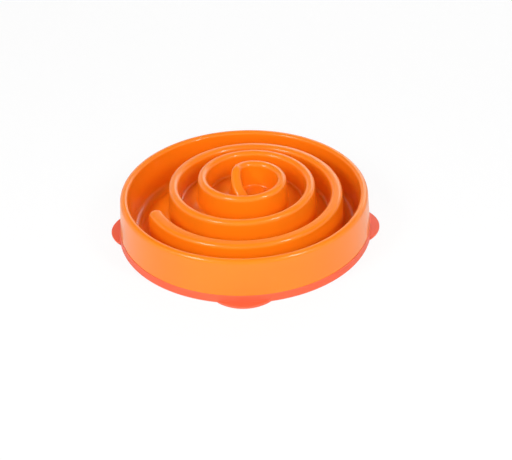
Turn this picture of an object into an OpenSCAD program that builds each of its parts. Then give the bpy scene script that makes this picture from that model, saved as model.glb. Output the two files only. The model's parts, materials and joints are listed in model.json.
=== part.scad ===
// Slow feeder bowl: a round bowl with a rising spiral ridge, on a soft non-slip ring with four tabs.
// Millimetres. The bowl stands on z = 0 around the Z axis, and its front is towards -Y.
// Every wall of the bowl has one thickness, so it is hollow under the rim, the dome and the ridge.

/* [Bowl] */
// Diameter over the rim
rim_d = 281; // [262:1:300]
// Height of the rim above the table
rim_h = 52; // [48:0.5:60]
// Width of the rim, from the skirt's face to the inner wall's face
rim_w = 9; // [7.5:0.1:11]
// Rounding of the rim's outer edge, as a share of the rim's width
rim_outer_share = 0.54; // [0.3:0.01:0.55]
// Rounding of the rim's inner edge, as a share of the rim's width
rim_inner_share = 0.44; // [0.2:0.01:0.44]
// How far the skirt flares out from the rim down to the table
skirt_flare = 3; // [1:0.1:8]
// Thickness of the moulded wall
wall = 2.4; // [2:0.1:2.8]
// Solid height under the top of the rim, above the hollow between skirt and inner wall
rim_solid_h = 8; // [6:0.5:12]

/* [Floor] */
// Height of the feeding channel's lowest line above the table
channel_h = 6; // [5:0.5:10]
// How far the feeding channel's lowest line lies inside the rim
channel_in = 10.5; // [9:0.1:14]
// Rounding of the channel's bottom
channel_round = 8; // [5:0.5:9]
// Height of the domed floor's middle above the table
dome_h = 48.5; // [40:0.5:54]

/* [Ridge] */
// Number of turns that the spiral makes before its tail
ridge_turns = 2.83; // [2.6:0.01:2.9]
// Direction of the spiral's outer end, from the right-hand side, anticlockwise
ridge_start_angle = 201; // [0:1:359]
// How far the spiral's middle lies to the right of the bowl's axis
ridge_shift = 5.6; // [0:0.1:8]
// How far inside the channel's lowest line the middle of the ridge starts
ridge_in = 10.8; // [10:0.1:16]
// Radius of the ridge's middle line where its tail begins
ridge_end_r = 16.6; // [15:0.1:21]
// Share of the way in that the ridge gains by winding wider towards the middle
ridge_open_share = 0.29; // [0:0.005:0.4]
// How far the ridge's top lies below the rim at its outer end
ridge_below_rim = 1.1; // [-4:0.1:8]
// Height of the ridge's top over the middle of the floor where its tail begins
ridge_end_h = 29.4; // [20:0.1:32]
// Share of the climb that the ridge makes sooner than at an even rate
ridge_climb_share = 0.16; // [0:0.005:0.4]
// Width of the ridge just below its rounded top, at its tail
ridge_w = 10.6; // [10:0.1:14]
// How much wider the ridge is at its outer end
ridge_widen = 5.9; // [0:0.1:8]
// How soon the ridge narrows: 1 evenly along its length, 5 mostly in its first half turn
ridge_narrow_share = 5; // [1:0.5:8]
// Rounding of the ridge's top edges
ridge_round = 5; // [3:0.1:5]
// Draft of the ridge's sides
ridge_draft = 2.5; // [1:0.1:4]
// Rounding where the ridge's sides meet the floor
ridge_foot = 3; // [1:0.1:4]
// Length of the tail that runs down to the floor in the middle
tail_l = 34; // [24:1:38]
// Radius at which the tail bends
tail_bend = 28; // [18:0.5:34]
// Slope at which the tail runs down
tail_slope = 36; // [20:1:40]
// Length over which the ridge's top bends into the tail's slope
tail_ease = 8; // [2:0.5:16]

/* [Base ring] */
// Height of the ring's visible band
ring_h = 9.5; // [7:0.5:14]
// How far the ring stands proud of the skirt
ring_proud = 0.7; // [0.2:0.1:2]
// Thickness of the ring under the skirt's foot
ring_floor = 3; // [2:0.1:5]
// Depth of the step in the skirt that the ring fills
rebate = 1; // [0.6:0.1:1.2]
// Thickness of the ring's inner lip
inner_lip = 2.2; // [1.5:0.1:4]
// Height of the ring's inner lip
inner_lip_h = 8; // [5:0.5:12]
// Number of tabs on the ring
tabs = 4; // [3:1:6]
// How far a tab reaches out from the ring's foot
tab_reach = 9.9; // [6:0.1:14]
// Length of ring that a tab and its blends take up
tab_l = 58; // [40:1:76]
// How softly a tab's flanks run into the ring: 1 makes an arch, 2 long soft flanks
tab_soft_share = 0.8; // [0.5:0.1:2]
// Thickness of a tab
tab_h = 2.6; // [2:0.1:5]
// Rounding of a tab's edge
tab_round = 1; // [0.4:0.1:1]

/* [Fit] */
// Clearance on each side of the skirt's foot in the ring's groove
groove_clear = 0.2; // [0.1:0.05:0.4]

/* [Quality] */
// Steps along the ridge before its tail
ridge_steps = 120; // [90:5:130]
// Steps around each rounded corner of an outline
round_steps = 6; // [3:1:10]
// Steps around each top edge of the ridge
edge_steps = 4; // [2:1:5]
// Steps around the blend at the ridge's foot
foot_steps = 3; // [2:1:4]
// Steps around each top edge of the hollow inside the ridge
hollow_steps = 2; // [1:1:3]
// Steps around each round end of the ridge
end_steps = 8; // [4:2:12]
// Steps along the ridge's tail
tail_steps = 12; // [8:1:20]
// Steps along one side of a tab
tab_steps = 10; // [6:1:16]

/* [Hidden] */
$fn = 180;
shell_colour = [1, 0.5, 0.05];
ring_colour = [0.97, 0.38, 0.24];
full_turn = 360;

// Overrun of a cut past the face that it opens
overrun = wall;

// How much shorter than even the ridge's first steps are, where its bend is widest and it is longest
step_share = 0.4;

// How far the blend at the ridge's foot runs on under the floor, as a share of its last step
foot_sink_share = 0.5;

// The most of the ridge's side that the blend at its foot may take up, where the tail gets low
foot_share = 0.9;

// Rim: the middles of its two rounded edges, as radius and height
rim_r = rim_d / 2;
rim_outer_round = rim_w * rim_outer_share;
rim_inner_round = rim_w * rim_inner_share;
outer_mid = [rim_r - rim_outer_round, rim_h - rim_outer_round];
inner_mid = [rim_r - rim_w + rim_inner_round, rim_h - rim_inner_round];

// Skirt: a straight line that touches the rim's outer edge and leans out as it goes down
skirt_lean = atan(skirt_flare / outer_mid.y);
function skirt_r(z) = outer_mid.x + rim_outer_round / cos(skirt_lean)
    + (outer_mid.y - z) * tan(skirt_lean);

// Inner wall: the line that touches the rim's inner edge and the channel's bottom
channel_r = rim_r - rim_w - channel_in;
channel_mid = [channel_r, channel_h + channel_round];
mid_to_mid = inner_mid - channel_mid;
wall_angle = atan2(mid_to_mid.y, mid_to_mid.x)
    + asin((channel_round + rim_inner_round) / norm(mid_to_mid));
wall_lean = 90 - wall_angle;

// Dome: a sphere cap that touches the channel's bottom from inside
dome_drop = dome_h - channel_mid.y;
dome_r = (channel_r ^ 2 + dome_drop ^ 2 - channel_round ^ 2) / (2 * (channel_round + dome_drop));
dome_mid_h = dome_h - dome_r;
dome_lean = atan2(channel_r, channel_mid.y - dome_mid_h);
function dome_edge(r) = [r * sin(dome_lean), dome_mid_h + r * cos(dome_lean)];
function floor_h(at) = dome_mid_h + sqrt(dome_r ^ 2 - at * at);

// Foot of the skirt, which stands in the ring's groove
foot_outer_r = skirt_r(ring_h) - rebate;
foot_inner_r = skirt_r(ring_h) - wall / cos(skirt_lean);
hollow_top = rim_h - rim_solid_h;

// Ring: its band runs parallel to the skirt
function band_r(z) = skirt_r(z) + ring_proud;
lip_r = foot_inner_r - groove_clear - inner_lip;
tab_half_angle = asin(tab_l / (2 * band_r(0)));
tab_root_r = (foot_outer_r + groove_clear + band_r(ring_h)) / 2;

// Points of an arc around a middle, from angle a to angle b
function arc(mid, r, a, b, steps = round_steps) =
    [for (i = [0:steps]) mid + r * [cos(a + (b - a) * i / steps), sin(a + (b - a) * i / steps)]];

// The spiral's middle line, where t counts turns from the outer end
start_r = channel_r - ridge_in;
start_h = rim_h - ridge_below_rim;
way_in = start_r - ridge_end_r;
climb = dome_h + ridge_end_h - start_h;
function spiral_r(t) = let (u = t / ridge_turns)
    start_r - way_in * u * (1 - ridge_open_share * (1 - u));
function spiral_h(t) = let (u = t / ridge_turns)
    start_h + climb * u * (1 + ridge_climb_share * (1 - u));
function spiral_half_w(t) = (ridge_w + ridge_widen * (1 - t / ridge_turns) ^ ridge_narrow_share) / 2;
function spiral_angle(t) = ridge_start_angle + full_turn * t;
function spiral_at(t) =
    [ridge_shift + spiral_r(t) * cos(spiral_angle(t)), spiral_r(t) * sin(spiral_angle(t))];
function spiral_heading(t) = spiral_angle(t) + atan2(
    spiral_r(t) * full_turn * PI / 180,
    -way_in / ridge_turns * (1 - ridge_open_share * (1 - 2 * t / ridge_turns))
);

// The tail bends on from the spiral's inner end and runs down
tail_start = spiral_at(ridge_turns);
tail_heading = spiral_heading(ridge_turns);
tail_mid = tail_start + tail_bend * [-sin(tail_heading), cos(tail_heading)];
function tail_turn(s) = tail_heading + s / tail_bend * 180 / PI;
function tail_at(s) = tail_mid + tail_bend * [sin(tail_turn(s)), -cos(tail_turn(s))];
function tail_drop(s) = tan(tail_slope) * (s < tail_ease ? s ^ 2 / (2 * tail_ease) : s - tail_ease / 2);

// Stations along the ridge's middle line: a place, a heading, the height of the top and half the width
path = concat(
    [for (i = [0:ridge_steps - 1]) let (
        x = i / ridge_steps,
        t = ridge_turns * x * (1 - step_share * (1 - x))
    ) [spiral_at(t), spiral_heading(t), spiral_h(t), spiral_half_w(t)]],
    [for (i = [0:tail_steps]) let (s = tail_l * i / tail_steps)
        [tail_at(s), tail_turn(s), spiral_h(ridge_turns) - tail_drop(s), ridge_w / 2]]
);
last = len(path) - 1;

// One trip around the ridge: out along its outer side, around the tail's end, back along its inner
// side and around its outer end. Each stop is a station's number and a turn from its heading.
trip = concat(
    [for (i = [0:last]) [i, -90]],
    [for (k = [1:end_steps - 1]) [last, -90 + 180 * k / end_steps]],
    [for (i = [last:-1:0]) [i, 90]],
    [for (k = [1:end_steps - 1]) [0, 90 + 180 * k / end_steps]]
);

// The upper part of half the ridge's section, as distances from the middle line and heights
function top_half(half_w, edge, top, steps) =
    arc([half_w - edge, top - edge], edge, 90, ridge_draft, steps);

// The blend between the ridge's side and the floor: an arc that touches both, run on under the floor
function foot_half(station, out) = let (
    top = station[2] - ridge_round,
    half_w = station[3],
    near = half_w + (top - floor_h(station[0])) * tan(ridge_draft),
    x = half_w + (top - floor_h(station[0] + near * out)) * tan(ridge_draft),
    at = station[0] + x * out,
    floor_lean = -atan(at * out / sqrt(dome_r ^ 2 - at * at)),
    opening = (90 + ridge_draft - floor_lean) / 2,
    r = min(ridge_foot, foot_share * (top - floor_h(at)) * tan(opening)),
    from_corner = [cos(ridge_draft) - sin(floor_lean), sin(ridge_draft) + cos(floor_lean)],
    mid = [x, floor_h(at)] + from_corner * r / (1 + cos(90 + floor_lean - ridge_draft)),
    blend = arc(mid, -r, ridge_draft, 90 + floor_lean, foot_steps),
    end = blend[foot_steps]
) concat(blend, [end + foot_sink_share * (end - blend[foot_steps - 1])]);

// Where the ridge's outside and its hollow end inside the hollow under the floor
ridge_root_h = channel_h / 2;

// A closed solid around the trip. Sections holds, for each stop, the points from the top down.
// The tops and the roots on the middle line are shared by the stops on both of its sides.
module trip_solid(sections, tops, root) {
    n = len(sections[0]);
    m = len(trip);
    stops = [for (k = [0:m - 1]) let (
        station = path[trip[k][0]],
        angle = station[1] + trip[k][1]
    ) each [for (p = sections[k]) [
        station[0].x + p.x * cos(angle),
        station[0].y + p.x * sin(angle),
        p.y
    ]]];
    middle_tops = [for (i = [0:last]) [path[i][0].x, path[i][0].y, tops[i]]];
    middle_roots = [for (i = [0:last]) [path[i][0].x, path[i][0].y, root]];
    faces = [for (k = [0:m - 1]) let (
        a = k * n,
        b = (k + 1) % m * n,
        top_a = m * n + trip[k][0],
        top_b = m * n + trip[(k + 1) % m][0],
        root_a = top_a + last + 1,
        root_b = top_b + last + 1
    ) each concat(
        [for (j = [0:n - 2]) each [[a + j, b + j, a + j + 1], [b + j, b + j + 1, a + j + 1]]],
        [[top_a, b, a], [root_b, a + n - 1, b + n - 1]],
        top_a == top_b ? [] : [[top_a, top_b, b], [root_a, a + n - 1, root_b]]
    )];
    polyhedron(points = concat(stops, middle_tops, middle_roots), faces = faces);
}

// The ridge's outside, sunk into the block under it
module ridge_outside() {
    sections = [for (stop = trip) let (
        station = path[stop[0]],
        angle = station[1] + stop[1],
        foot = foot_half(station, [cos(angle), sin(angle)])
    ) concat(
        top_half(station[3], ridge_round, station[2], edge_steps),
        foot,
        [[foot[foot_steps + 1].x, ridge_root_h]]
    )];
    trip_solid(sections, [for (s = path) s[2]], ridge_root_h);
}

// The hollow inside the ridge, one wall thickness in, open below
module ridge_hollow() {
    sections = [for (stop = trip) let (
        station = path[stop[0]],
        top = station[2] - wall,
        half_w = station[3] - wall
    ) concat(
        top_half(half_w, ridge_round - wall, top, hollow_steps),
        [[half_w + (top - ridge_root_h) * tan(ridge_draft), ridge_root_h]]
    )];
    trip_solid(sections, [for (s = path) s[2] - wall], ridge_root_h);
}

// Everything inside the skirt, the rim and the floor's upper face, with nothing hollowed out
module bowl_block() {
    edge = dome_edge(dome_r);
    rotate_extrude() polygon(concat(
        [[edge.x, ring_floor]],
        arc(channel_mid, channel_round, 270 - dome_lean, 270 + wall_angle),
        arc(inner_mid, rim_inner_round, 180 - wall_lean, 90),
        arc(outer_mid, rim_outer_round, 90, skirt_lean),
        [[skirt_r(ring_h), ring_h], [foot_outer_r, ring_h], [foot_outer_r, ring_floor]]
    ));
    intersection() {
        translate([0, 0, dome_mid_h]) sphere(r = dome_r);
        translate([0, 0, ring_floor]) cylinder(h = dome_h, r = edge.x);
    }
}

// The space under the rim and the floor, one wall thickness inside the block
module bowl_hollow() {
    edge = dome_edge(dome_r - wall);
    along = [cos(wall_angle), sin(wall_angle)];
    touch = channel_mid + (channel_round + wall) * [along.y, -along.x];
    top = touch + along * (hollow_top - touch.y) / along.y;
    rotate_extrude() polygon(concat(
        [[edge.x, -overrun]],
        arc(channel_mid, channel_round + wall, 270 - dome_lean, 270 + wall_angle),
        [top, [skirt_r(hollow_top) - wall / cos(skirt_lean), hollow_top]],
        [[foot_inner_r, ring_h], [foot_inner_r, -overrun]]
    ));
    intersection() {
        translate([0, 0, dome_mid_h]) sphere(r = dome_r - wall);
        translate([0, 0, -overrun]) cylinder(h = dome_h, r = edge.x);
    }
}

module bowl_shell() {
    color(shell_colour) difference() {
        union() {
            bowl_block();
            ridge_outside();
        }
        bowl_hollow();
        ridge_hollow();
    }
}

// A tab: a plate whose outline swells out of the band and back, with its edge rounded
module tab() {
    layers = [[tab_round, 0], [0, tab_round], [0, tab_h - tab_round], [tab_round, tab_h]];
    angles = [for (i = [-tab_steps:tab_steps]) tab_half_angle * i / tab_steps];
    swell = [for (a = angles) cos(90 * a / tab_half_angle) ^ tab_soft_share];
    rings = [for (l = layers) concat(
        [for (i = [0:len(angles) - 1]) let (r = band_r(0) + tab_reach * swell[i] - l[0])
            [r * cos(angles[i]), r * sin(angles[i]), l[1]]],
        [for (i = [len(angles) - 1:-1:0])
            [tab_root_r * cos(angles[i]), tab_root_r * sin(angles[i]), l[1]]]
    )];
    n = len(rings[0]);
    m = len(rings);
    sides = [for (i = [0:m - 2], j = [0:n - 1]) let (
        a = i * n + j,
        b = i * n + (j + 1) % n
    ) each [[a, a + n, b], [b, a + n, b + n]]];
    strip = len(angles) - 1;
    underside = [for (i = [0:strip - 1]) each [[i, i + 1, n - 1 - i], [i + 1, n - 2 - i, n - 1 - i]]];
    top = [for (f = underside) [f[2], f[1], f[0]] + [1, 1, 1] * (m - 1) * n];
    polyhedron(points = [for (r = rings) each r], faces = concat(sides, underside, top));
}

module base_ring() {
    color(ring_colour) union() {
        rotate_extrude() polygon([
            [lip_r, 0],
            [band_r(0) - tab_round, 0],
            [band_r(tab_round), tab_round],
            [band_r(ring_h), ring_h],
            [foot_outer_r + groove_clear, ring_h],
            [foot_outer_r + groove_clear, ring_floor],
            [foot_inner_r - groove_clear, ring_floor],
            [foot_inner_r - groove_clear, inner_lip_h],
            [lip_r, inner_lip_h]
        ]);
        for (i = [0:tabs - 1]) rotate([0, 0, full_turn * i / tabs]) tab();
    }
}

bowl_shell();
base_ring();
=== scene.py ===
"""Looks of the slow feeder bowl: a glossy bowl with a rising spiral ridge on a soft non-slip ring."""

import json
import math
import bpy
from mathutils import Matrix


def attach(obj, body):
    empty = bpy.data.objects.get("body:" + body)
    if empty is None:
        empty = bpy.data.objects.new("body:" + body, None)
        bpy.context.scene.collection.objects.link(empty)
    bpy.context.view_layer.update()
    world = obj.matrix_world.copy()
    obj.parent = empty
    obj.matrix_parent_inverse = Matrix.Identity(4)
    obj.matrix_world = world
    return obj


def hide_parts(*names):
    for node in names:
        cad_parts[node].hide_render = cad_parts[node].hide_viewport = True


bl_info = {
    "name": "Slow feeder bowl",
    "version": (1, 0, 0),
    "blender": (4, 5, 0),
    "location": "3D View > Sidebar > Feeder",
    "description": "Builds a slow feeder bowl, its spiral ridge, its non-slip ring and a small studio",
    "category": "Add Mesh",
}

from types import SimpleNamespace

import bmesh
import bpy
from bpy.props import (
    FloatProperty,
    FloatVectorProperty,
    IntProperty,
    PointerProperty,
)
from mathutils import Color, Matrix, Vector

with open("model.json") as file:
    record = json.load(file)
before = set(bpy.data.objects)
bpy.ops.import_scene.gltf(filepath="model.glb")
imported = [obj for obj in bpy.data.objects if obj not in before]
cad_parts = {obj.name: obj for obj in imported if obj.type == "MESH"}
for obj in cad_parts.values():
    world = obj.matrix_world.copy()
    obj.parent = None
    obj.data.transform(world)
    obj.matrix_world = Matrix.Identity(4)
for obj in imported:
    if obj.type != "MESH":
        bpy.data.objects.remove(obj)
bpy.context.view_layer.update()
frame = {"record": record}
SLOT_COLOURS = {m["slot"]: m["base_color"] for m in frame["record"]["materials"]}

# Parts of a turn
QUARTER = math.pi / 2
HALF = math.pi
FULL = 2 * math.pi

# Points closer than this are one, and an edge shorter than the second length is no edge
MERGE_DISTANCE = 0.00001
SHORTEST_EDGE = MERGE_DISTANCE / 10


# Properties: the sizes and colours that a user would change


def length(name, default, description):
    """A size in metres."""
    return FloatProperty(
        name=name, description=description, default=default, precision=4, unit="LENGTH"
    )


def share(name, default, description):
    """A part of something else."""
    return FloatProperty(
        name=name, description=description, default=default, precision=3, subtype="FACTOR"
    )


def turn(name, default, description):
    """An angle, given here in degrees."""
    return FloatProperty(
        name=name, description=description, default=math.radians(default), subtype="ANGLE"
    )


def number(name, default, description):
    """A number without a unit."""
    return FloatProperty(name=name, description=description, default=default)


class FeederBowlSizes(bpy.types.PropertyGroup):
    """Sizes of the bowl's rim, skirt, channel and floor"""

    rim_d: length("Rim diameter", 0.281, "Diameter over the rim")
    rim_h: length("Rim height", 0.052, "Height of the rim above the table")
    rim_w: length("Rim width", 0.009, "From the skirt's face to the inner wall's face")
    outer_round: length("Outer rounding", 0.00486, "Rounding of the rim's outer edge")
    inner_round: length("Inner rounding", 0.00396, "Rounding of the rim's inner edge")
    flare: length("Skirt flare", 0.003, "How far the skirt flares out down to the table")
    wall: length("Wall", 0.0024, "Thickness of the moulded wall")
    rim_solid_h: length("Rim solid height", 0.008, "Solid height above the skirt's hollow")
    channel_h: length("Channel height", 0.006, "Lowest line of the channel above the table")
    channel_in: length("Channel inset", 0.0105, "Lowest line of the channel inside the rim")
    channel_round: length("Channel rounding", 0.008, "Rounding of the channel's bottom")
    dome_h: length("Dome height", 0.0485, "Middle of the domed floor above the table")


class FeederRidgeSizes(bpy.types.PropertyGroup):
    """Sizes of the spiral ridge and its tail"""

    turns: number("Turns", 2.83, "Turns that the spiral makes before its tail")
    start_angle: turn("Start", 201, "Direction of the outer end from the right-hand side")
    shift: length("Shift", 0.0056, "How far the spiral's middle lies to the right")
    start_in: length("Start inset", 0.0108, "Middle of the outer end inside the channel line")
    end_r: length("Inner radius", 0.0166, "Radius of the middle line where the tail begins")
    swell: length("Swell", 0.0047, "How far the last turn swells out to the right")
    swell_at: number("Swell place", 2.36, "Turns from the outer end to the widest swell")
    swell_half: number("Swell half length", 0.3, "Turns from the widest swell to its ends")
    open_share: share("Opening", 0.29, "Part of the way in made by winding wider inwards")
    below_rim: length("Below the rim", 0.0011, "Depth of the outer end's top under the rim")
    end_h: length("Inner height", 0.0294, "Top over the middle of the floor at the tail")
    climb_share: share("Early climb", 0.16, "Part of the climb made sooner than evenly")
    width: length("Width", 0.0106, "Width just below the rounded top, at the tail")
    widen: length("Widening", 0.0059, "How much wider the ridge is at its outer end")
    narrow: number("Narrowing", 5, "1 narrows evenly all along, 5 mostly in the first half turn")
    edge_round: length("Edge rounding", 0.005, "Rounding of the top edges")
    draft: turn("Draft", 2.5, "Draft of the sides")
    foot_round: length("Foot rounding", 0.003, "Rounding where the sides meet the floor")
    tail_l: length("Tail length", 0.034, "Length of the tail that runs down to the floor")
    tail_widen: length("Tail widening", 0.0034, "How much wider the tail is at its end")
    tail_bend: length("Tail bend", 0.028, "Radius at which the tail bends")
    tail_slope: turn("Tail slope", 36, "Slope at which the tail runs down")
    tail_ease: length("Tail ease", 0.008, "Length over which the top bends into the slope")


class FeederRingSizes(bpy.types.PropertyGroup):
    """Sizes of the non-slip ring and its tabs"""

    height: length("Band height", 0.0095, "Height of the visible band")
    proud: length("Proud", 0.0007, "How far the band stands proud of the skirt")
    floor: length("Ring floor", 0.003, "Thickness under the skirt's foot")
    rebate: length("Rebate", 0.001, "Depth of the step in the skirt that the band fills")
    lip: length("Inner lip", 0.0022, "Thickness of the inner lip")
    lip_h: length("Lip height", 0.008, "Height of the inner lip")
    clear: length("Clearance", 0.0002, "Clearance on each side of the foot in the groove")
    edge_round: length("Edge rounding", 0.0005, "Rounding of the band's and the lip's edges")
    tabs: IntProperty(name="Tabs", description="Number of tabs", default=4, min=1)
    tab_reach: length("Tab reach", 0.0099, "How far a tab reaches out from the ring's foot")
    tab_l: length("Tab length", 0.058, "Length of ring that a tab takes up")
    tab_soft: number("Tab softness", 0.8, "1 makes an arch, 2 long soft flanks")
    tab_h: length("Tab thickness", 0.0026, "Thickness of a tab")
    tab_round: length("Tab rounding", 0.001, "Rounding of a tab's edge")
    crease_round: length("Crease rounding", 0.0008, "Rounding where a tab meets the band")


class FeederFinish(bpy.types.PropertyGroup):
    """Colours and surface finish"""

    bowl_colour: FloatVectorProperty(
        name="Bowl",
        description="Colour of the bowl's plastic",
        subtype="COLOR_GAMMA",
        default=SLOT_COLOURS["bowl_plastic"],
    )
    ring_colour: FloatVectorProperty(
        name="Ring",
        description="Colour of the ring's soft moulding",
        subtype="COLOR_GAMMA",
        default=SLOT_COLOURS["ring_rubber"],
    )
    bowl_roughness: share("Bowl roughness", 0.38, "Roughness of the moulded plastic")
    ring_roughness: share("Ring roughness", 0.46, "Roughness of the soft moulding")
    lamp_strength: number("Lamps", 1.0, "Strength of the studio's lamps")


# Node trees


class Value:
    """A number that a node tree works out: each operator adds the Math node that it stands for."""

    def __init__(self, tree, socket):
        self.tree = tree
        self.socket = socket

    def __add__(self, other):
        return self.tree.maths("ADD", self, other)

    def __radd__(self, other):
        return self.tree.maths("ADD", other, self)

    def __sub__(self, other):
        return self.tree.maths("SUBTRACT", self, other)

    def __rsub__(self, other):
        return self.tree.maths("SUBTRACT", other, self)

    def __mul__(self, other):
        return self.tree.maths("MULTIPLY", self, other)

    def __rmul__(self, other):
        return self.tree.maths("MULTIPLY", other, self)

    def __truediv__(self, other):
        return self.tree.maths("DIVIDE", self, other)

    def __rtruediv__(self, other):
        return self.tree.maths("DIVIDE", other, self)

    def __pow__(self, other):
        return self.tree.maths("POWER", self, other)

    def __neg__(self):
        return self.tree.maths("MULTIPLY", self, -1)

    def __abs__(self):
        return self.tree.maths("ABSOLUTE", self)

    def least(self, other):
        """The smaller of the two."""
        return self.tree.maths("MINIMUM", self, other)

    def most(self, other):
        """The larger of the two."""
        return self.tree.maths("MAXIMUM", self, other)

    def clamp(self):
        """The number, held between 0 and 1."""
        return self.most(0).least(1)

    def sin(self):
        return self.tree.maths("SINE", self)

    def cos(self):
        return self.tree.maths("COSINE", self)

    def tan(self):
        return self.tree.maths("TANGENT", self)

    def sqrt(self):
        return self.tree.maths("SQRT", self)

    def rounded(self):
        return self.tree.maths("ROUND", self)


class Tree:
    """A node tree for a material or for geometry."""

    def __init__(self, tree):
        self.tree = tree
        tree.nodes.clear()

    def node(self, kind, settings=None, sockets=None):
        """Adds a node: its settings come first, then the values or links of its sockets."""
        made = self.tree.nodes.new(kind)
        for name, setting in (settings or {}).items():
            setattr(made, name, setting)
        for key, value in (sockets or {}).items():
            if isinstance(value, Value):
                value = value.socket
            if isinstance(value, bpy.types.NodeSocket):
                self.tree.links.new(value, made.inputs[key])
            else:
                made.inputs[key].default_value = value
        return made

    def value(self, kind, settings=None, sockets=None, output=0):
        """Adds a node and gives one of its outputs as a number."""
        return Value(self, self.node(kind, settings, sockets).outputs[output])

    def maths(self, operation, *values):
        """Adds a Math node."""
        return self.value("ShaderNodeMath", {"operation": operation}, dict(enumerate(values)))

    def split(self, vector):
        """The three parts of a vector."""
        parts = self.node("ShaderNodeSeparateXYZ", None, {0: vector})
        return [Value(self, parts.outputs[i]) for i in range(3)]


def bend(middle, steps, radius, start, end, outside=None):
    """An arc of a section, and maybe a rule that gives its least distance out at a height."""
    return SimpleNamespace(
        at=middle, steps=steps, radius=radius, start=start, end=end, outside=outside
    )


def corner(out, up):
    """A corner of a section: a point alone."""
    return SimpleNamespace(at=(out, up), steps=0, outside=None)


class Loft(Tree):
    """A geometry tree that bends a grid of stops by section points into one closed surface."""

    def __init__(self, name, sizes, material):
        super().__init__(bpy.data.node_groups.new(name, "GeometryNodeTree"))
        self.tree.is_modifier = True
        self.material = material
        interface = self.tree.interface
        interface.new_socket("Geometry", in_out="INPUT", socket_type="NodeSocketGeometry")
        for size in sizes:
            interface.new_socket(size, in_out="INPUT", socket_type="NodeSocketFloat")
        interface.new_socket("Geometry", in_out="OUTPUT", socket_type="NodeSocketGeometry")
        given = self.node("NodeGroupInput")
        self.sizes = SimpleNamespace(**{size: Value(self, given.outputs[size]) for size in sizes})

        # The grid lies between -0.5 and 0.5 in both directions
        x, y, _ = self.split(self.node("GeometryNodeInputPosition").outputs[0])
        self.along, self.across = x + 0.5, y + 0.5

    def pick(self, index, pieces):
        """The value of the first piece whose last point isn't behind the index."""
        chosen = pieces[-1][1]
        for last, value in reversed(pieces[:-1]):
            here = self.maths("LESS_THAN", index, last + 0.5)
            chosen = self.value(
                "GeometryNodeSwitch",
                {"input_type": "FLOAT"},
                {"Switch": here, "False": chosen, "True": value},
            )
        return chosen

    def section(self, pieces):
        """The point that a section of corners and bends has here, and the number of its last."""
        last = sum(p.steps + 1 for p in pieces) - 1
        index = (self.across * last).rounded()
        first, outs, ups = 0, [], []
        for p in pieces:
            out, up = p.at
            if p.steps:
                angle = ((index - first) / p.steps).clamp() * (p.end - p.start) + p.start
                out = out + p.radius * angle.cos()
                up = up + p.radius * angle.sin()
            if p.outside:
                out = p.outside(up).most(out)
            outs.append((first + p.steps, out))
            ups.append((first + p.steps, up))
            first += p.steps + 1
        return self.pick(index, outs), self.pick(index, ups), last

    def finish(self, stops, last, x, y, z):
        """Bends the grid, joins its edges and gives it its material."""
        grid = self.node(
            "GeometryNodeMeshGrid",
            None,
            {"Size X": 1.0, "Size Y": 1.0, "Vertices X": stops + 1, "Vertices Y": last + 1},
        )
        place = self.node("ShaderNodeCombineXYZ", None, {"X": x, "Y": y, "Z": z})
        bent = self.node(
            "GeometryNodeSetPosition",
            None,
            {"Geometry": grid.outputs["Mesh"], "Position": place.outputs[0]},
        )
        joined = self.node(
            "GeometryNodeMergeByDistance",
            None,
            {"Geometry": bent.outputs[0], "Distance": MERGE_DISTANCE},
        )
        smooth = self.node("GeometryNodeSetShadeSmooth", None, {"Geometry": joined.outputs[0]})
        real = self.node("GeometryNodeRealizeInstances", None, {"Geometry": smooth.outputs[0]})
        painted = self.node(
            "GeometryNodeSetMaterial",
            None,
            {"Geometry": real.outputs[0], "Material": self.material},
        )
        self.node("NodeGroupOutput", None, {0: painted.outputs[0]})

    def build(self, name, values):
        """A piece with this tree's plain mesh, made at the given sizes."""
        piece = new_piece(name, bpy.data.meshes.new(name))
        modifier = piece.modifiers.new(name, "NODES")
        modifier.node_group = self.tree
        for item in self.tree.interface.items_tree:
            if item.in_out == "INPUT" and item.name in values:
                modifier[item.identifier] = float(values[item.name])
        settle(piece)
        return piece


# Meshes


def new_piece(name, mesh):
    """An object in the scene, with its place in its mesh."""
    piece = bpy.data.objects.new(name, mesh)
    bpy.context.scene.collection.objects.link(piece)
    return piece


def settle(piece):
    """Turns what the modifiers make into the piece's own plain mesh."""
    bpy.context.view_layer.update()
    graph = bpy.context.evaluated_depsgraph_get()
    mesh = bpy.data.meshes.new_from_object(piece.evaluated_get(graph), depsgraph=graph)
    piece.modifiers.clear()
    piece.data = mesh
    mesh.name = piece.name


def tidy_surface(piece, sharp_degrees=35):
    """Merges doubles, points every face outwards and shades all but the sharp edges smooth."""
    shape = bmesh.new()
    shape.from_mesh(piece.data)
    bmesh.ops.remove_doubles(shape, verts=shape.verts, dist=MERGE_DISTANCE)
    bmesh.ops.dissolve_degenerate(shape, edges=shape.edges, dist=SHORTEST_EDGE)
    bmesh.ops.recalc_face_normals(shape, faces=shape.faces)
    shape.to_mesh(piece.data)
    shape.free()
    piece.data.shade_smooth()
    piece.data.set_sharp_from_angle(angle=math.radians(sharp_degrees))


def mark_wear(piece, full_radius):
    """Stores how tightly the surface bends outwards: 0 where it is flat, 1 at the given radius."""
    shape = bmesh.new()
    shape.from_mesh(piece.data)
    wear = []
    for vert in shape.verts:
        area = sum(face.calc_area() / len(face.verts) for face in vert.link_faces)
        fold = sum(
            edge.calc_face_angle_signed(0.0) * edge.calc_length() for edge in vert.link_edges
        )
        # On a rounded edge, the curve is 1 / radius
        curve = fold / (2 * area) if area else 0.0
        wear.append(max(0.0, min(1.0, curve * full_radius)))
    shape.free()
    stored = piece.data.attributes.new("edge_wear", "FLOAT", "POINT")
    stored.data.foreach_set("value", wear)


def seat(piece, slot, *nodes):
    """Lets a piece ride on the model's one body and stand for its CAD nodes."""
    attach(piece, "root")
    if nodes:
        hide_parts(*nodes)


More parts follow.
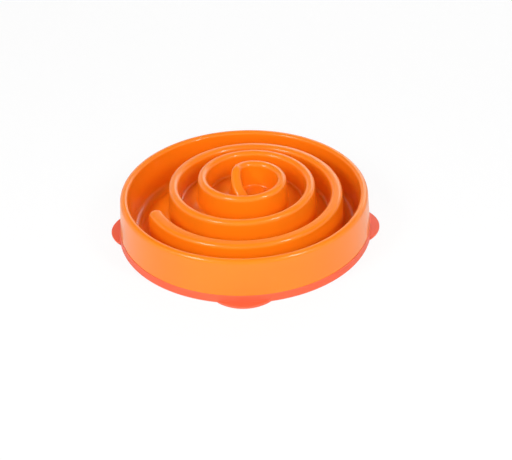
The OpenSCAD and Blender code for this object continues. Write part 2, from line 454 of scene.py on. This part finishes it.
def arc(middle, radius, start, end, steps):
    """Points of an arc from one angle to another."""
    return [
        (
            middle[0] + radius * math.cos(start + (end - start) * i / steps),
            middle[1] + radius * math.sin(start + (end - start) * i / steps),
        )
        for i in range(steps + 1)
    ]


def line(start, end, steps):
    """Points of a straight line, without its two ends."""
    return [
        tuple(start[k] + (end[k] - start[k]) * i / steps for k in (0, 1)) for i in range(1, steps)
    ]


def revolve(name, outline, steps):
    """A closed surface of revolution from an outline that starts and ends on the Z axis."""
    around = [(math.cos(FULL * i / steps), math.sin(FULL * i / steps)) for i in range(steps)]
    verts = [(0, 0, outline[0][1]), (0, 0, outline[-1][1])]
    rows = outline[1:-1]
    verts += [(r * c, r * s, z) for r, z in rows for c, s in around]
    faces = []
    for i in range(steps):
        j = (i + 1) % steps
        faces.append((0, 2 + i, 2 + j))
        for row in range(len(rows) - 1):
            a, b = 2 + row * steps, 2 + (row + 1) * steps
            faces.append((a + i, b + i, b + j, a + j))
        final = 2 + (len(rows) - 1) * steps
        faces.append((final + i, 1, final + j))
    mesh = bpy.data.meshes.new(name)
    mesh.from_pydata(verts, [], faces)
    return new_piece(name, mesh)


# The bowl's form, by the rules that the CAD model follows

# Steps around the bowl, then along the parts of its outline
AROUND_STEPS = 300
DOME_STEPS = 48
CHANNEL_STEPS = 16
WALL_STEPS = 6
INNER_EDGE_STEPS = 12
OUTER_EDGE_STEPS = 14
SKIRT_STEPS = 8


def bowl_form(bowl, ring):
    """Places and angles worked out from the sizes: a place is out from the axis and up."""
    f = SimpleNamespace()
    rim_r = bowl.rim_d / 2
    f.outer_mid = (rim_r - bowl.outer_round, bowl.rim_h - bowl.outer_round)
    f.inner_mid = (rim_r - bowl.rim_w + bowl.inner_round, bowl.rim_h - bowl.inner_round)
    f.lean = math.atan(bowl.flare / f.outer_mid[1])
    skirt_top = f.outer_mid[0] + bowl.outer_round / math.cos(f.lean)
    f.skirt = lambda height: skirt_top + (f.outer_mid[1] - height) * math.tan(f.lean)
    f.channel_r = rim_r - bowl.rim_w - bowl.channel_in
    f.channel_mid = (f.channel_r, bowl.channel_h + bowl.channel_round)
    way = [a - b for a, b in zip(f.inner_mid, f.channel_mid)]
    f.wall_angle = math.atan2(way[1], way[0]) + math.asin(
        (bowl.channel_round + bowl.inner_round) / math.hypot(*way)
    )
    drop = bowl.dome_h - f.channel_mid[1]
    f.dome_r = (f.channel_r**2 + drop**2 - bowl.channel_round**2) / (
        2 * (bowl.channel_round + drop)
    )
    f.dome_mid_h = bowl.dome_h - f.dome_r
    f.dome_lean = math.atan2(f.channel_r, f.channel_mid[1] - f.dome_mid_h)
    f.foot_outer_r = f.skirt(ring.height) - ring.rebate
    f.foot_inner_r = f.skirt(ring.height) - bowl.wall / math.cos(f.lean)
    f.hollow_top = bowl.rim_h - bowl.rim_solid_h
    return f


def bowl_outline(bowl, ring, f):
    """Half the bowl's section, from the middle of the floor out over the rim and back underneath."""
    dome_mid = (0, f.dome_mid_h)
    dome_edge = QUARTER - f.dome_lean
    channel_in, channel_out = 3 * QUARTER - f.dome_lean, 3 * QUARTER + f.wall_angle
    upper = arc(dome_mid, f.dome_r, QUARTER, dome_edge, DOME_STEPS)
    channel = arc(f.channel_mid, bowl.channel_round, channel_in, channel_out, CHANNEL_STEPS)
    inner_edge = arc(
        f.inner_mid, bowl.inner_round, QUARTER + f.wall_angle, QUARTER, INNER_EDGE_STEPS
    )
    outer_edge = arc(f.outer_mid, bowl.outer_round, QUARTER, f.lean, OUTER_EDGE_STEPS)
    skirt_end = (f.skirt(ring.height), ring.height)

    # Underneath, the channel's wall is followed up to the top of the rim's hollow
    along = (math.cos(f.wall_angle), math.sin(f.wall_angle))
    under_round = bowl.channel_round + bowl.wall
    touch = (
        f.channel_mid[0] + under_round * along[1],
        f.channel_mid[1] - under_round * along[0],
    )
    hollow_in = (touch[0] + along[0] * (f.hollow_top - touch[1]) / along[1], f.hollow_top)
    hollow_out = (f.skirt(f.hollow_top) - bowl.wall / math.cos(f.lean), f.hollow_top)
    under_channel = arc(f.channel_mid, under_round, channel_out, channel_in, CHANNEL_STEPS)
    lower = arc(dome_mid, f.dome_r - bowl.wall, dome_edge, QUARTER, DOME_STEPS)

    points = upper + channel[1:] + line(channel[-1], inner_edge[0], WALL_STEPS) + inner_edge
    points += outer_edge + line(outer_edge[-1], skirt_end, SKIRT_STEPS) + [skirt_end]
    points += [
        (f.foot_outer_r, ring.height),
        (f.foot_outer_r, ring.floor),
        (f.foot_inner_r, ring.floor),
        (f.foot_inner_r, ring.height),
    ]
    points += [hollow_out, hollow_in] + under_channel + lower[1:]
    return points


# The spiral ridge

RIDGE_SIZES = (
    "turns start_angle shift start_r end_r open_share swell swell_at swell_half start_h end_h "
    "climb_share width widen narrow edge_round draft foot_round wall tail_l tail_widen tail_bend "
    "tail_slope tail_ease dome_r dome_mid_h root_h"
).split()

# Steps along the spiral, down the tail and around each end
RIDGE_STEPS = 330
TAIL_STEPS = 26
END_STEPS = 18
# The share by which the first step is shorter than the average one, and the last one longer
STEP_SHARE = 0.45

# Steps around the rounded edge, around it on the inside, and around the foot
EDGE_STEPS = 9
INSIDE_STEPS = 5
FOOT_STEPS = 8

# The largest share of the side that the foot's rounding may take
FOOT_SHARE = 0.9
# How far the rounding runs out over the floor, and how steeply it sinks in
FOOT_RUN = 0.0015
FOOT_SINK = math.radians(4)
# How deep the lower edges reach into the floor
LEG_DEPTH = 0.0013


def ridge_path(tree, station):
    """The middle line at a station: its place, heading, height of the top and half width."""
    s = tree.sizes

    # The way along the spiral, from 0 at its outer end to 1 at the tail, and down the tail
    part = station.least(RIDGE_STEPS) / RIDGE_STEPS
    u = part * (1 - STEP_SHARE * (1 - part))
    run = (station - RIDGE_STEPS).most(0) * (s.tail_l / TAIL_STEPS)

    # The spiral, and how fast it winds inwards
    way_in = s.start_r - s.end_r
    sweep = s.turns * FULL
    angle = s.start_angle + sweep * u
    radius = s.start_r - way_in * u * (1 - s.open_share * (1 - u))
    inward = way_in * (s.open_share * (1 - 2 * u) - 1)

    # The swell of the last turn
    from_swell = ((s.turns * u - s.swell_at) / s.swell_half).least(1).most(-1)
    radius = radius + s.swell * (from_swell * QUARTER).cos() ** 2
    inward = inward - s.swell * s.turns / s.swell_half * QUARTER * (from_swell * HALF).sin()

    # The tail bends on from the spiral's end and runs down
    spiral_heading = angle + tree.maths("ARCTAN2", radius * sweep, inward)
    heading = spiral_heading + run / s.tail_bend
    eased = run.least(s.tail_ease)
    drop = s.tail_slope.tan() * (eased * eased / (2 * s.tail_ease) + run - eased)
    climb = (s.end_h - s.start_h) * u * (1 + s.climb_share * (1 - u))
    width = s.width + s.widen * (1 - u) ** s.narrow + s.tail_widen * run / s.tail_l
    return SimpleNamespace(
        x=s.shift + radius * angle.cos() + s.tail_bend * (heading.sin() - spiral_heading.sin()),
        y=radius * angle.sin() + s.tail_bend * (spiral_heading.cos() - heading.cos()),
        heading=heading,
        top=s.start_h + climb - drop,
        half_w=width / 2,
    )


def ridge_tree(name, material, hollow=False):
    """The ridge's surface, or the hollow inside it, which cuts the floor open from below."""
    tree = Loft(name, RIDGE_SIZES, material)
    s = tree.sizes
    legs = RIDGE_STEPS + TAIL_STEPS
    stops = 2 * (legs + END_STEPS)

    # A trip around the ridge: along its outer side, around the tail, back, around the outer end.
    # The fan counts the half turns that the two ends make.
    stop = (tree.along * stops).rounded()
    station = stop.least(legs) - (stop - legs - END_STEPS).most(0).least(legs)
    fan = ((stop - legs) / END_STEPS).clamp() + ((stop - 2 * legs - END_STEPS) / END_STEPS).clamp()
    path = ridge_path(tree, station)
    top, half_w = path.top, path.half_w

    # Across: the direction in which the section points lie, and the floor under them
    facing = path.heading - QUARTER + fan * HALF
    east, north = facing.cos(), facing.sin()

    def place(out):
        return path.x + out * east, path.y + out * north

    def floor(out):
        x, y = place(out)
        return s.dome_mid_h + (s.dome_r * s.dome_r - x * x - y * y).sqrt()

    lean = s.draft.tan()
    inner_w = half_w - s.wall
    inner_round = s.edge_round - s.wall
    inner_mid = (inner_w - inner_round, top - s.wall - inner_round)
    inside = [
        corner(0, top - s.wall),
        bend(inner_mid, INSIDE_STEPS, inner_round, QUARTER, s.draft),
    ]

    def inner_side(height):
        return inner_w + (inner_mid[1] - height) * lean

    if hollow:
        outside = [corner(inner_side(s.root_h), s.root_h), corner(0, s.root_h)]
    else:
        edge_h = top - s.edge_round
        foot_out = half_w + (edge_h - floor(half_w + (edge_h - floor(0.0)) * lean)) * lean
        foot_h = floor(foot_out)
        foot_x, foot_y = place(foot_out)
        fall = -(foot_x * east + foot_y * north) / (foot_h - s.dome_mid_h)
        slope = tree.maths("ARCTANGENT", fall)
        opening = (QUARTER + s.draft - slope) / 2
        foot_r = s.foot_round.least(FOOT_SHARE * (edge_h - foot_h) * opening.tan())
        reach = foot_r / (1 - (slope - s.draft).sin())
        foot_mid = (
            foot_out + reach * (s.draft.cos() - slope.sin()),
            foot_h + reach * (s.draft.sin() + slope.cos()),
        )
        run_out = foot_mid[0] + foot_r * slope.sin() + FOOT_RUN * (slope - FOOT_SINK).cos()
        run_h = foot_mid[1] - foot_r * slope.cos() + FOOT_RUN * (slope - FOOT_SINK).sin()
        leg_h = floor(inner_side(floor(inner_w))) - LEG_DEPTH
        outside = [
            corner(inner_side(leg_h), leg_h),
            corner(run_out, floor(run_out) - LEG_DEPTH),
            corner(run_out, run_h),
            bend(foot_mid, FOOT_STEPS, -foot_r, slope + QUARTER, s.draft),
            bend((half_w - s.edge_round, edge_h), EDGE_STEPS, s.edge_round, s.draft, QUARTER),
            corner(0, top),
        ]
    out, up, last = tree.section(inside + outside)
    tree.finish(stops, last, *place(out), up)
    return tree


# The non-slip ring

RING_SIZES = (
    "band_r band_lean height lip_r lip_h groove_out groove_in floor edge_round tabs tab_reach "
    "tab_half_angle tab_soft tab_h tab_round crease_round"
).split()

# Steps around the ring, a tab's edge, the crease above it, the band's edge and the lip's edge
RING_STEPS = 720
TAB_STEPS = 6
CREASE_STEPS = 5
BAND_STEPS = 5
LIP_STEPS = 3


def ring_tree(name, material):
    """The ring's section, carried around the bowl and drawn out into the tabs."""
    tree = Loft(name, RING_SIZES, material)
    s = tree.sizes
    angle = (tree.along * RING_STEPS).rounded() * (FULL / RING_STEPS)
    step = HALF / s.tabs
    off = abs(tree.maths("WRAP", angle, step, -step)) / s.tab_half_angle
    swell = (off.least(1) * QUARTER).cos().most(0) ** s.tab_soft

    def band(height):
        return s.band_r - s.band_lean * height

    tab_mid = (s.band_r + s.tab_reach * swell).most(band(s.tab_round)) - s.tab_round
    land = (tab_mid - band(s.tab_h)).most(0)
    crease = s.crease_round.least(land / 2)
    crease_mid = (band(s.tab_h) + crease, s.tab_h + crease)
    band_mid = (band(s.height) - s.edge_round, s.height - s.edge_round)
    low, high = s.edge_round, s.lip_h - s.edge_round
    lip_in = s.lip_r + s.edge_round
    pieces = [
        bend((lip_in, low), LIP_STEPS, s.edge_round, HALF, 3 * QUARTER),
        bend((tab_mid, s.tab_round), TAB_STEPS, s.tab_round, -QUARTER, 0),
        bend((tab_mid, s.tab_h - s.tab_round), TAB_STEPS, s.tab_round, 0, QUARTER, band),
        bend(crease_mid, CREASE_STEPS, crease, 3 * QUARTER, HALF),
        bend(band_mid, BAND_STEPS, s.edge_round, 0, QUARTER),
        corner(s.groove_out, s.height),
        corner(s.groove_out, s.floor),
        corner(s.groove_in, s.floor),
        bend((s.groove_in - s.edge_round, high), LIP_STEPS, s.edge_round, 0, QUARTER),
        bend((lip_in, high), LIP_STEPS, s.edge_round, QUARTER, HALF),
        corner(s.lip_r, low),
    ]
    out, up, last = tree.section(pieces)
    tree.finish(RING_STEPS, last, out * angle.cos(), out * angle.sin(), up)
    return tree


# Materials

# The share of the red light that a colour throws back: under 1, hollows can fall into shade
RED_SHARE = 0.93
# What the rubbed places of each material turn towards
RUBBED_PLASTIC = Vector((1.0, 0.36, 0.012))
RUBBED_RUBBER = Vector((1.0, 0.9, 0.85))
# Radius at which the way around the bowl is measured for patterns
PATTERN_RADIUS = 0.1
PAPER_WHITE = (0.93, 0.93, 0.93, 1.0)


def pigment(colour):
    """A colour as the shaders take it, from the colour as it is seen."""
    red, green, blue = Color(colour).from_srgb_to_scene_linear()
    return Vector((red * RED_SHARE, green, blue))


def opaque(colour):
    """A colour with its alpha."""
    return (*colour, 1.0)


def mixed(tree, factor, first, second):
    """A colour between two colours."""
    made = tree.node("ShaderNodeMix", {"data_type": "RGBA"}, {0: factor, 6: first, 7: second})
    return made.outputs[2]


def noise(tree, place, scale, detail, roughness=0.5):
    """An uneven pattern between 0 and 1, with its scale in patches to a metre."""
    return tree.value(
        "ShaderNodeTexNoise",
        None,
        {"Vector": place, "Scale": scale, "Detail": detail, "Roughness": roughness},
    )


def swing(pattern, amount):
    """A pattern as a change up and down about its middle."""
    return (pattern - 0.5) * amount


def peaks(pattern, level, gain):
    """The peaks of a pattern: 0 below the level and rising to 1 above it."""
    return ((pattern - level) * gain).clamp()


def stretched(tree, place, scale):
    """A place scaled differently along each axis."""
    made = tree.node("ShaderNodeMapping", None, {"Vector": place, "Scale": scale})
    return made.outputs[0]


def around_place(tree, place):
    """A place as way around the bowl, distance from its axis and height, all as lengths."""
    x, y, z = tree.split(place)
    radius = (x * x + y * y).sqrt()
    way = tree.maths("ARCTAN2", y, x) * PATTERN_RADIUS
    made = tree.node("ShaderNodeCombineXYZ", None, {"X": way, "Y": radius, "Z": z})
    return made.outputs[0]


def new_material(name):
    """A material and its empty tree."""
    material = bpy.data.materials.new(name)
    material.use_nodes = True
    return material, Tree(material.node_tree)


def wear_of(tree):
    """How much a place is rubbed, from the piece's own attribute."""
    return tree.value("ShaderNodeAttribute", {"attribute_name": "edge_wear"}, None, "Fac")


def surface(tree, shader, bump):
    """Ends a material: one shader with the given sockets, over a bump with the given sockets."""
    bumped = tree.node("ShaderNodeBump", None, bump)
    shader = {**shader, "Normal": bumped.outputs[0]}
    shaded = tree.node("ShaderNodeBsdfPrincipled", None, shader)
    tree.node("ShaderNodeOutputMaterial", None, {"Surface": shaded.outputs[0]})


def moulded_plastic(finish):
    """Satin-gloss injection moulding: even colour, faint flow marks, rubbed edges and hairlines."""
    material, tree = new_material("moulded_plastic")
    place = tree.node("ShaderNodeTexCoord").outputs["Object"]
    wear = wear_of(tree)
    flow = noise(tree, place, scale=14, detail=3)
    cloud = noise(tree, place, scale=55, detail=2)
    grain = noise(tree, place, scale=1500, detail=2)
    peel = noise(tree, place, scale=260, detail=1)
    rings = stretched(tree, around_place(tree, place), (18, 2600, 2600))
    hairlines = peaks(noise(tree, rings, 1, 2, 0.6), level=0.62, gain=9)
    scuffs = peaks(noise(tree, place, 95, 5, 0.7), level=0.52, gain=5) * wear
    base = pigment(finish.bowl_colour)
    deep = opaque(base * 0.93)
    rubbed = opaque(base.lerp(RUBBED_PLASTIC, 0.15))
    colour = mixed(tree, (flow - 0.35).clamp() * 1.6, opaque(base), deep)
    colour = mixed(tree, (wear * 0.25 + scuffs * 0.5).clamp(), colour, rubbed)
    roughness = finish.bowl_roughness + swing(cloud, 0.07) + swing(grain, 0.05)
    roughness = roughness + hairlines * 0.06 + scuffs * 0.1
    height = peel * 0.6 + grain * 0.18 - hairlines * 0.25 - scuffs * 0.2
    surface(
        tree,
        {
            "Base Color": colour,
            "Roughness": roughness,
            "IOR": 1.49,
            "Specular IOR Level": 0.3,
            "Coat Weight": 0.42,
            "Coat Roughness": 0.08,
        },
        {"Strength": 0.09, "Distance": 0.0003, "Height": height},
    )
    return material


def soft_rubber(finish):
    """Soft moulding with a fine even grain, a little sheen and rubbed tab edges."""
    material, tree = new_material("soft_rubber")
    place = tree.node("ShaderNodeTexCoord").outputs["Object"]
    wear = wear_of(tree)
    cloud = noise(tree, place, scale=30, detail=3)
    grain = noise(tree, place, scale=2100, detail=2)
    specks = noise(tree, place, scale=420, detail=3, roughness=0.6)
    dust = peaks(noise(tree, place, 70, 4, 0.65), level=0.55, gain=4)
    base = pigment(finish.ring_colour)
    deep = opaque(base * 0.9)
    pale = opaque(base.lerp(RUBBED_RUBBER, 0.05))
    colour = mixed(tree, (cloud - 0.3).clamp() * 1.3, opaque(base), deep)
    colour = mixed(tree, (wear * 0.5 + dust * 0.25).clamp(), colour, pale)
    roughness = finish.ring_roughness + swing(cloud, 0.08) + swing(specks, 0.1) + dust * 0.06
    surface(
        tree,
        {
            "Base Color": colour,
            "Roughness": roughness,
            "IOR": 1.45,
            "Specular IOR Level": 0.4,
            "Sheen Weight": 0.05,
            "Sheen Roughness": 0.4,
        },
        {"Strength": 0.22, "Distance": 0.0002, "Height": grain * 0.7 + specks * 0.5},
    )
    return material


def studio_paper(name, shown):
    """White paper that keeps the bowl's shadow. The camera and reflections see it as far white as
    the given share, so that the background stays even."""
    material, tree = new_material(name)
    path = tree.node("ShaderNodeLightPath")
    seen = Value(tree, path.outputs["Is Camera Ray"]).most(
        Value(tree, path.outputs["Is Glossy Ray"])
    )
    paper = tree.node(
        "ShaderNodeBsdfPrincipled",
        None,
        {"Base Color": PAPER_WHITE, "Roughness": 0.85, "Specular IOR Level": 0.2},
    )
    white = tree.node("ShaderNodeEmission", None, {"Strength": 1.0})
    both = tree.node(
        "ShaderNodeMixShader", None, {0: seen * shown, 1: paper.outputs[0], 2: white.outputs[0]}
    )
    tree.node("ShaderNodeOutputMaterial", None, {"Surface": both.outputs[0]})
    return material


# The studio

# The camera, as fitted to the bowl's rim, skirt and ring in the picture
CAMERA_DISTANCE = 1.7
CAMERA_AIM = Vector((0, 0, 0.025))
CAMERA_ELEVATION = math.radians(33.04)
CAMERA_TURN = math.radians(1.7)
CAMERA_ROLL = math.radians(2.18)
FOCAL_PIXELS = 1488.6
PICTURE_WIDTH = 512
PICTURE_HEIGHT = 460
PICTURE_MIDDLE = (244.6, 210.6)
SENSOR_WIDTH = 36

# Each lamp: name, degrees from the front to the right, degrees up, distance, width and height,
# watts, and whether the glossy surfaces mirror it
LAMPS = (
    ("left_box", -50, 42, 1.4, (0.36, 0.5), 8.2, True),
    ("right_box", 50, 42, 1.4, (0.2, 0.5), 7.0, True),
    ("front_panel", 0, 30, 2.1, (2.0, 0.8), 24.0, False),
    ("top_panel", 180, 75, 1.8, (1.6, 1.4), 3.0, False),
    ("back_fill", 180, 30, 2.1, (2.0, 0.8), 9.0, False),
    ("back_panel", 158, 26, 2.0, (1.4, 0.6), 6.5, True),
)
LAMP_AIM = Vector((0, 0, 0.03))
WORLD_STRENGTH = 0.05

# The floor lies just under the ring, so that the two don't share a surface
FLOOR_HALF = 6.0
FLOOR_DEPTH = 0.0002
FLOOR_SHOWN = 0.88

BACKDROP_STEPS = 48
BACKDROP_RADIUS = 2.6
BACKDROP_HEIGHT = 1.6
BACKDROP_OPEN_HALF = math.radians(60)
BACKDROP_SHOWN = 1.0


def way_from_bowl(turned, raised):
    """A direction, turned from the front of the bowl to its right and raised from the table."""
    level = math.cos(raised)
    return Vector((math.sin(turned) * level, -math.cos(turned) * level, math.sin(raised)))


def place_paper(name, verts, faces, shown):
    """A piece of the studio's white paper."""
    mesh = bpy.data.meshes.new(name)
    mesh.from_pydata(verts, [], faces)
    mesh.materials.append(studio_paper(f"studio_{name}", shown))
    new_piece(name, mesh)


def lay_floor():
    """A wide white floor."""
    half = FLOOR_HALF
    corners = ((-half, -half), (half, -half), (half, half), (-half, half))
    verts = [(x, y, -FLOOR_DEPTH) for x, y in corners]
    place_paper("floor", verts, [(0, 1, 2, 3)], FLOOR_SHOWN)


def stand_backdrop():
    """A low wall of paper around the back and the sides."""
    verts, faces = [], []
    for i in range(BACKDROP_STEPS + 1):
        angle = BACKDROP_OPEN_HALF - QUARTER
        angle += (FULL - 2 * BACKDROP_OPEN_HALF) * i / BACKDROP_STEPS
        foot = (BACKDROP_RADIUS * math.cos(angle), BACKDROP_RADIUS * math.sin(angle))
        verts += [(*foot, 0), (*foot, BACKDROP_HEIGHT)]
    for i in range(0, 2 * BACKDROP_STEPS, 2):
        faces.append((i, i + 1, i + 3, i + 2))
    place_paper("backdrop", verts, faces, BACKDROP_SHOWN)


def light_world(strength):
    """A faint even light, which the camera sees as white."""
    world = bpy.data.worlds.new("studio")
    world.use_nodes = True
    bpy.context.scene.world = world
    tree = Tree(world.node_tree)
    seen = tree.value("ShaderNodeLightPath", None, None, "Is Camera Ray")
    faint, white = (
        tree.node("ShaderNodeBackground", None, {"Color": (1, 1, 1, 1), "Strength": power})
        for power in (WORLD_STRENGTH * strength, 1.0)
    )
    both = tree.node(
        "ShaderNodeMixShader", None, {0: seen, 1: faint.outputs[0], 2: white.outputs[0]}
    )
    tree.node("ShaderNodeOutputWorld", None, {"Surface": both.outputs[0]})


def hang_lamps(strength):
    """Soft lamps, all turned to the middle of the bowl."""
    for name, turned, raised, distance, size, watts, mirrored in LAMPS:
        lamp = bpy.data.lights.new(name, "AREA")
        lamp.shape = "RECTANGLE"
        lamp.size, lamp.size_y = size
        lamp.energy = watts * strength
        held = bpy.data.objects.new(name, lamp)
        held.visible_glossy = mirrored
        bpy.context.scene.collection.objects.link(held)
        way = way_from_bowl(math.radians(turned), math.radians(raised))
        held.location = LAMP_AIM + way * distance
        held.rotation_euler = (LAMP_AIM - held.location).to_track_quat("-Z", "Y").to_euler()


def place_camera(scene):
    """The camera that takes the picture, and the plain view of its colours."""
    back = way_from_bowl(CAMERA_TURN, CAMERA_ELEVATION)
    level = Vector((math.cos(CAMERA_TURN), math.sin(CAMERA_TURN), 0))
    upright = back.cross(level)
    right = math.cos(CAMERA_ROLL) * level - math.sin(CAMERA_ROLL) * upright
    up = math.sin(CAMERA_ROLL) * level + math.cos(CAMERA_ROLL) * upright
    data = bpy.data.cameras.new("camera")
    data.sensor_width = SENSOR_WIDTH
    data.lens = FOCAL_PIXELS / PICTURE_WIDTH * SENSOR_WIDTH
    data.shift_x = (PICTURE_WIDTH / 2 - PICTURE_MIDDLE[0]) / PICTURE_WIDTH
    data.shift_y = (PICTURE_MIDDLE[1] - PICTURE_HEIGHT / 2) / PICTURE_WIDTH
    camera = bpy.data.objects.new("camera", data)
    scene.collection.objects.link(camera)
    turned = Matrix((right, up, back)).transposed().to_4x4()
    camera.matrix_world = Matrix.Translation(CAMERA_AIM + back * CAMERA_DISTANCE) @ turned
    scene.camera = camera
    scene.view_settings.view_transform = "Standard"


# Operators


class FeederOperator:
    """What the operators share"""

    bl_options = {"REGISTER", "UNDO"}

    @property
    def sizes(self):
        """The sizes of the bowl, the ridge and the ring, and their finish."""
        scene = bpy.context.scene
        return scene.feeder_bowl, scene.feeder_ridge, scene.feeder_ring, scene.feeder_finish


def kept_material(name, make, finish):
    """The material of that name, made the first time that it is asked for."""
    return bpy.data.materials.get(name) or make(finish)


def ridge_values(bowl, ridge, f):
    """The ridge tree's sizes from the properties and the bowl's form."""
    values = {name: getattr(ridge, name) for name in RIDGE_SIZES if hasattr(ridge, name)}
    values.update(
        start_r=f.channel_r - ridge.start_in,
        start_h=bowl.rim_h - ridge.below_rim,
        end_h=bowl.dome_h + ridge.end_h,
        wall=bowl.wall,
        dome_r=f.dome_r,
        dome_mid_h=f.dome_mid_h,
        root_h=bowl.channel_h / 2,
    )
    return values


class FEEDER_OT_bowl(FeederOperator, bpy.types.Operator):
    """Build the bowl's skirt, rim, channel and domed floor, open below under the ridge"""

    bl_idname = "feeder.bowl"
    bl_label = "Bowl"

    def execute(self, context):
        bowl, ridge, ring, finish = self.sizes
        f = bowl_form(bowl, ring)
        material = kept_material("moulded_plastic", moulded_plastic, finish)
        piece = revolve("bowl_body", bowl_outline(bowl, ring, f), AROUND_STEPS)
        tidy_surface(piece)
        piece.data.materials.append(material)
        tree = ridge_tree("ridge_hollow", material, hollow=True)
        hollow = tree.build("ridge_hollow", ridge_values(bowl, ridge, f))
        tidy_surface(hollow)
        cut = piece.modifiers.new("open_ridge", "BOOLEAN")
        cut.operation = "DIFFERENCE"
        cut.solver = "EXACT"
        cut.object = hollow
        settle(piece)
        bpy.data.objects.remove(hollow)
        tidy_surface(piece)
        mark_wear(piece, bowl.inner_round)
        seat(piece, "bowl_plastic", "bowl_shell")
        return {"FINISHED"}


class FEEDER_OT_ridge(FeederOperator, bpy.types.Operator):
    """Build the rising spiral ridge, rounded, drafted and hollow inside"""

    bl_idname = "feeder.ridge"
    bl_label = "Spiral ridge"

    def execute(self, context):
        bowl, ridge, ring, finish = self.sizes
        f = bowl_form(bowl, ring)
        material = kept_material("moulded_plastic", moulded_plastic, finish)
        tree = ridge_tree("spiral_ridge", material)
        piece = tree.build("spiral_ridge", ridge_values(bowl, ridge, f))
        tidy_surface(piece)
        mark_wear(piece, ridge.edge_round)
        seat(piece, "bowl_plastic")
        return {"FINISHED"}


class FEEDER_OT_ring(FeederOperator, bpy.types.Operator):
    """Build the soft non-slip ring with its groove, lip and tabs"""

    bl_idname = "feeder.ring"
    bl_label = "Non-slip ring"

    def execute(self, context):
        bowl, _, ring, finish = self.sizes
        f = bowl_form(bowl, ring)
        band_r = f.skirt(0) + ring.proud
        values = {name: getattr(ring, name) for name in RING_SIZES if hasattr(ring, name)}
        values.update(
            band_r=band_r,
            band_lean=math.tan(f.lean),
            lip_r=f.foot_inner_r - ring.clear - ring.lip,
            groove_out=f.foot_outer_r + ring.clear,
            groove_in=f.foot_inner_r - ring.clear,
            tab_half_angle=math.asin(ring.tab_l / (2 * band_r)),
        )
        material = kept_material("soft_rubber", soft_rubber, finish)
        piece = ring_tree("non_slip_ring", material).build("non_slip_ring", values)
        tidy_surface(piece)
        mark_wear(piece, ring.tab_round)
        seat(piece, "ring_rubber", "base_ring")
        return {"FINISHED"}


class FEEDER_OT_stage(FeederOperator, bpy.types.Operator):
    """Set up the white floor, the soft lamps and the camera"""

    bl_idname = "feeder.stage"
    bl_label = "Studio"

    def execute(self, context):
        strength = context.scene.feeder_finish.lamp_strength
        lay_floor()
        stand_backdrop()
        light_world(strength)
        hang_lamps(strength)
        place_camera(context.scene)
        return {"FINISHED"}


class FEEDER_PT_panel(bpy.types.Panel):
    """Lists the sizes, the colours and the pieces"""

    bl_idname = "FEEDER_PT_panel"
    bl_label = "Slow feeder bowl"
    bl_space_type = "VIEW_3D"
    bl_region_type = "UI"
    bl_category = "Feeder"

    def draw(self, context):
        layout = self.layout
        for operator in OPERATORS:
            layout.operator(operator.bl_idname, text=operator.bl_label)
        for name in GROUPS:
            box = layout.box()
            group = getattr(context.scene, name)
            box.label(text=GROUPS[name].__doc__)
            for key in GROUPS[name].__annotations__:
                box.prop(group, key)


GROUPS = {
    "feeder_bowl": FeederBowlSizes,
    "feeder_ridge": FeederRidgeSizes,
    "feeder_ring": FeederRingSizes,
    "feeder_finish": FeederFinish,
}
OPERATORS = (FEEDER_OT_bowl, FEEDER_OT_ridge, FEEDER_OT_ring, FEEDER_OT_stage)


def register():
    for made in (*GROUPS.values(), *OPERATORS, FEEDER_PT_panel):
        bpy.utils.register_class(made)
    for name, group in GROUPS.items():
        setattr(bpy.types.Scene, name, PointerProperty(type=group))


def unregister():
    for name in GROUPS:
        delattr(bpy.types.Scene, name)
    for made in reversed((*GROUPS.values(), *OPERATORS, FEEDER_PT_panel)):
        bpy.utils.unregister_class(made)


def main():
    register()
    bpy.ops.feeder.bowl()
    bpy.ops.feeder.ridge()
    bpy.ops.feeder.ring()
    bpy.ops.feeder.stage()


if __name__ == "__main__":
    main()
